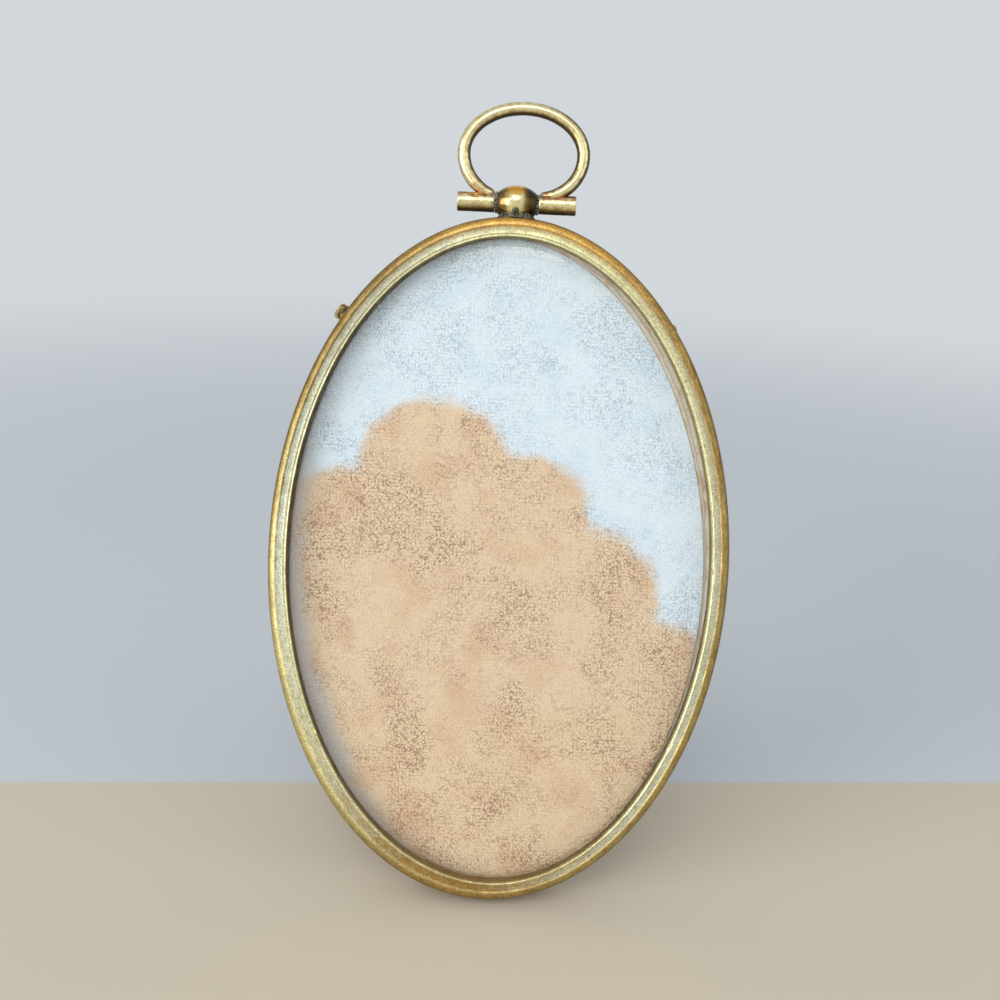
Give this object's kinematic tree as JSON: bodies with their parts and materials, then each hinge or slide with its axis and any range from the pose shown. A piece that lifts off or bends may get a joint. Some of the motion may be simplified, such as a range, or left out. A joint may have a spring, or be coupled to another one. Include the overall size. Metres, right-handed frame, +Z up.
{
  "type": "oval picture frame",
  "caption": "Small upright oval brass picture frame with a domed glass, a swinging hanging bow on a ball at the top and a hinged easel strut behind.",
  "frame": {"origin": "on the table, under the middle of the whole standing frame", "axes": "+Z up, -Y out of the front of the frame towards the viewer, +X to the viewer's right; the frame leans back towards +Y"},
  "size_m": [0.081, 0.0418, 0.137],
  "materials": {
    "aged_brass": "satin, aged, with an orange tarnish round the outer edge",
    "clear_glass": "domed clear glass",
    "printed_paper": "matt print, pale blue ground and a warm tan cloud",
    "tan_card": "plain tan card",
    "stained_wood": "thin board, dark stain",
    "pin_brass": "worn bright on the heads",
    "polished_brass": "rubbed bright, dark in the hollows",
    "grey_solder": "dull grey soft solder",
    "drawn_brass": "round drawn wire, pitted and rubbed",
    "coppery_brass": "turned tube with a coppery stain",
    "dark_pin": "dark, with green corrosion at the gaps",
    "back_brass": "sheet brass, tarnished"
  },
  "bodies": {
    "frame": {"bezel_rim": "aged_brass", "convex_glass": "clear_glass", "picture_print": "printed_paper", "backing_card": "tan_card", "back_board": "stained_wood", "side_pins": "pin_brass", "finial_ball": "polished_brass", "finial_solder": "grey_solder", "strut_bracket": "back_brass", "bracket_rivets": "pin_brass", "strut_hinge_pin": "pin_brass"},
    "bow": {"bow_wire": "drawn_brass", "bow_knuckle_left": "coppery_brass", "bow_knuckle_right": "coppery_brass", "bow_pin": "dark_pin"},
    "strut": {"easel_strut": "back_brass"}
  },
  "joints": [
    {"name": "bow_hinge", "type": "hinge", "parent": "frame", "child": "bow", "pos_m": [0.0003, 0.01418, 0.12029], "axis": [1, 0, 0], "range_deg": [-121, 126]},
    {"name": "strut_hinge", "type": "hinge", "parent": "frame", "child": "strut", "pos_m": [0, 0.0089, 0.07914], "axis": [1, 0, 0], "range_deg": [-24, 0]}
  ]
}
